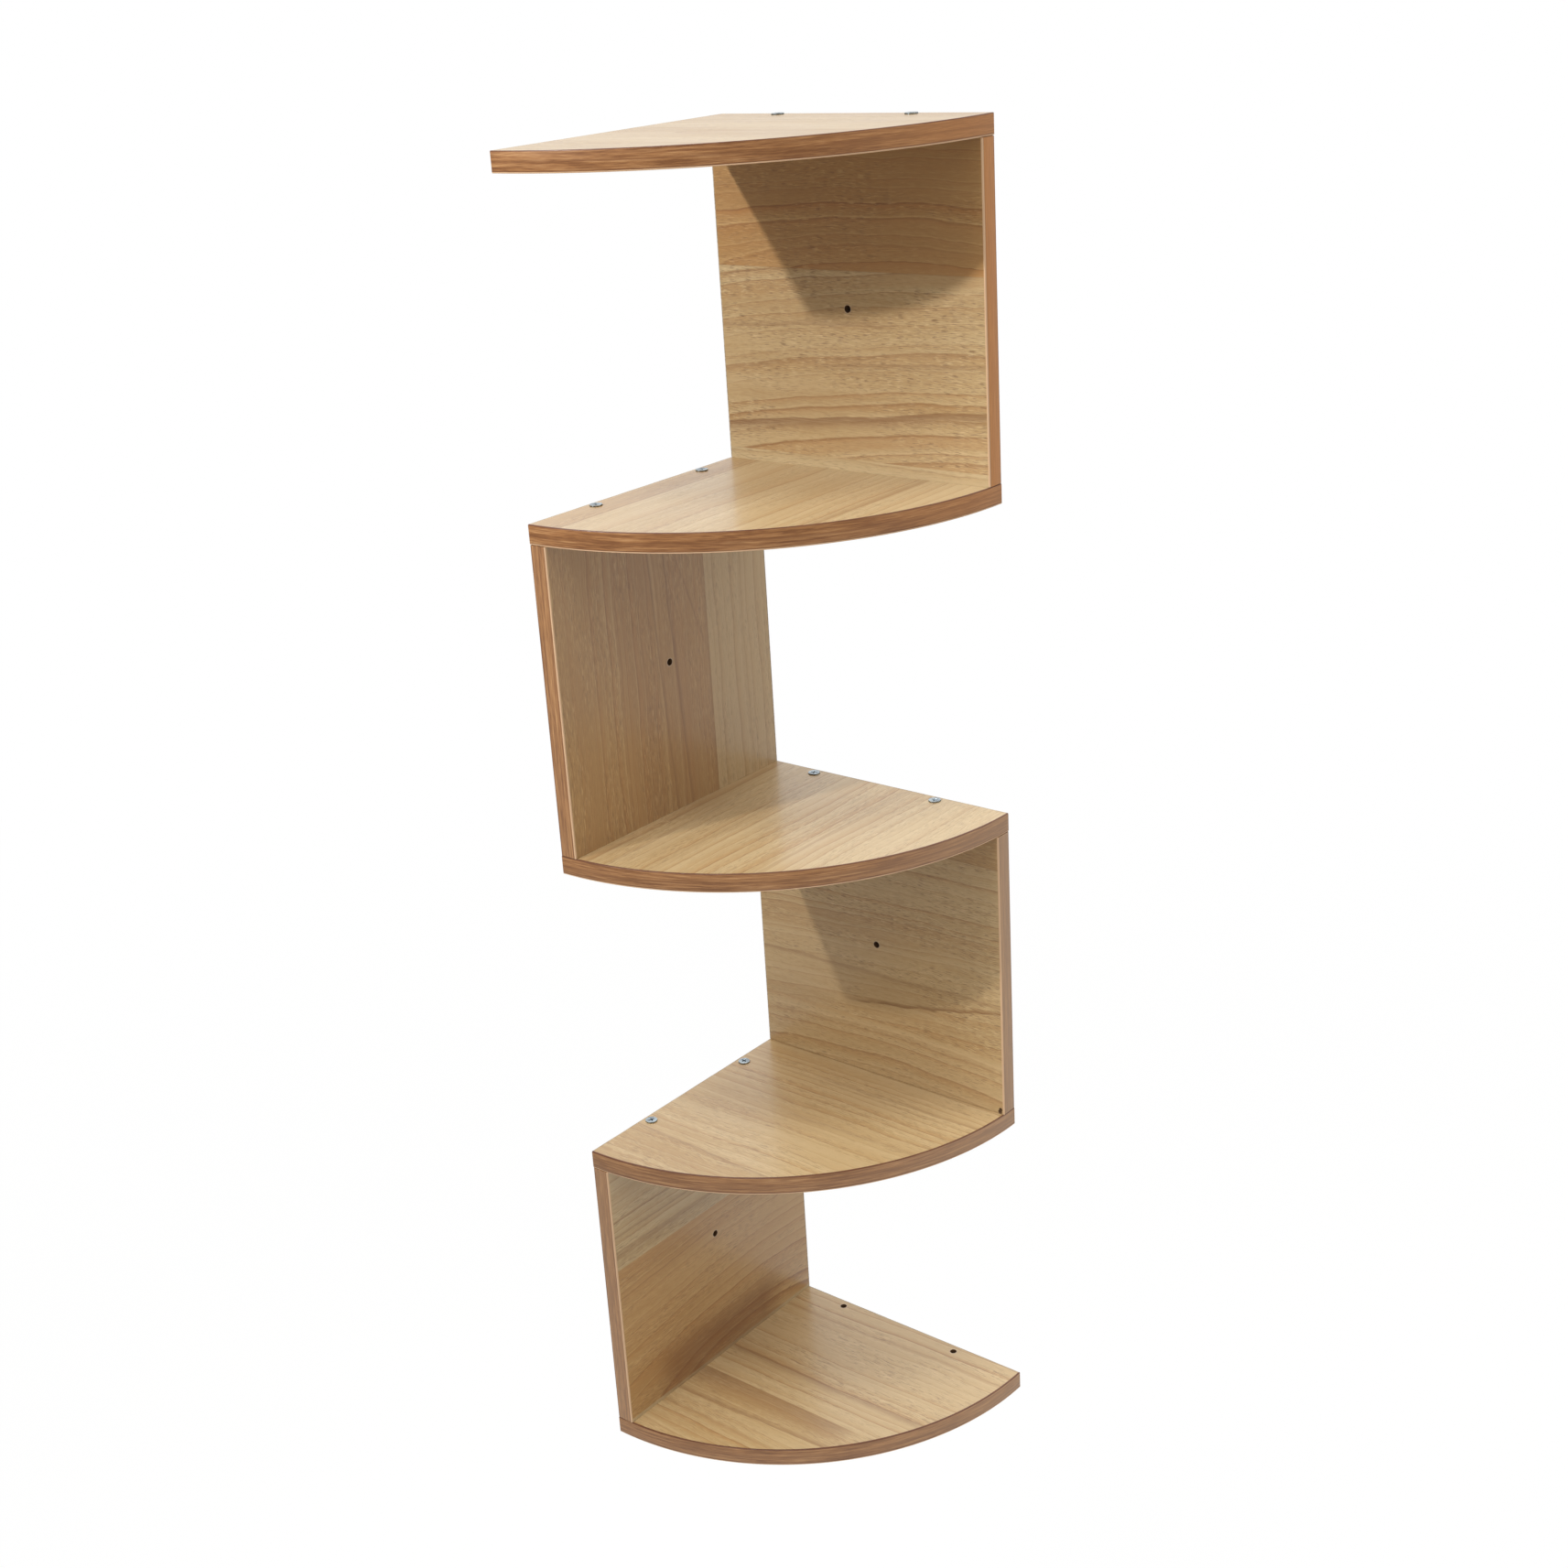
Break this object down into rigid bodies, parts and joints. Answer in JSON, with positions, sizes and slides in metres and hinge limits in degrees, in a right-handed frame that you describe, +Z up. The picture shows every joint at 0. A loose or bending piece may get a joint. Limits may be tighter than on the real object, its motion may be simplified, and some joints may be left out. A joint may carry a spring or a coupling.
{
  "type": "zig-zag corner wall shelf",
  "caption": "Corner wall shelf of stacked quarter-round boards, joined by square uprights that stand on the right and left wall in turn.",
  "frame": {"origin": "on the line where the room's two walls meet, level with the underside of the lowest shelf", "axes": "+Z up; +X along the right wall, away from the corner; -Y along the left wall, away from the corner; the right wall is the plane y = 0 and the left wall is the plane x = 0"},
  "size_m": [0.195, 0.195, 0.8416],
  "materials": {
    "laminate": "satin woodgrain laminate on board",
    "front_band": "satin woodgrain edge band",
    "wall_band": "thin woodgrain edge band",
    "zinc_plated_steel": "bright zinc plating"
  },
  "bodies": {
    "root": {"shelf_1_board": "laminate", "shelf_2_board": "laminate", "shelf_3_board": "laminate", "shelf_4_board": "laminate", "shelf_5_board": "laminate", "upright_1_board": "laminate", "upright_2_board": "laminate", "upright_3_board": "laminate", "upright_4_board": "laminate", "shelf_1_front_band": "front_band", "shelf_2_front_band": "front_band", "shelf_3_front_band": "front_band", "shelf_4_front_band": "front_band", "shelf_5_front_band": "front_band", "upright_1_front_band": "front_band", "upright_2_front_band": "front_band", "upright_3_front_band": "front_band", "upright_4_front_band": "front_band", "shelf_1_right_wall_band": "wall_band", "shelf_2_right_wall_band": "wall_band", "shelf_3_right_wall_band": "wall_band", "shelf_4_right_wall_band": "wall_band", "shelf_5_right_wall_band": "wall_band", "shelf_1_left_wall_band": "wall_band", "shelf_2_left_wall_band": "wall_band", "shelf_3_left_wall_band": "wall_band", "shelf_4_left_wall_band": "wall_band", "shelf_5_left_wall_band": "wall_band", "upright_1_rear_band": "wall_band", "upright_2_rear_band": "wall_band", "upright_3_rear_band": "wall_band", "upright_4_rear_band": "wall_band", "screw_down_1_inner": "zinc_plated_steel", "screw_down_1_outer": "zinc_plated_steel", "screw_down_2_inner": "zinc_plated_steel", "screw_down_2_outer": "zinc_plated_steel", "screw_down_3_inner": "zinc_plated_steel", "screw_down_3_outer": "zinc_plated_steel", "screw_down_4_inner": "zinc_plated_steel", "screw_down_4_outer": "zinc_plated_steel", "screw_up_1_inner": "zinc_plated_steel", "screw_up_1_outer": "zinc_plated_steel", "screw_up_2_inner": "zinc_plated_steel", "screw_up_2_outer": "zinc_plated_steel", "screw_up_3_inner": "zinc_plated_steel", "screw_up_3_outer": "zinc_plated_steel", "screw_up_4_inner": "zinc_plated_steel", "screw_up_4_outer": "zinc_plated_steel"}
  },
  "joints": []
}
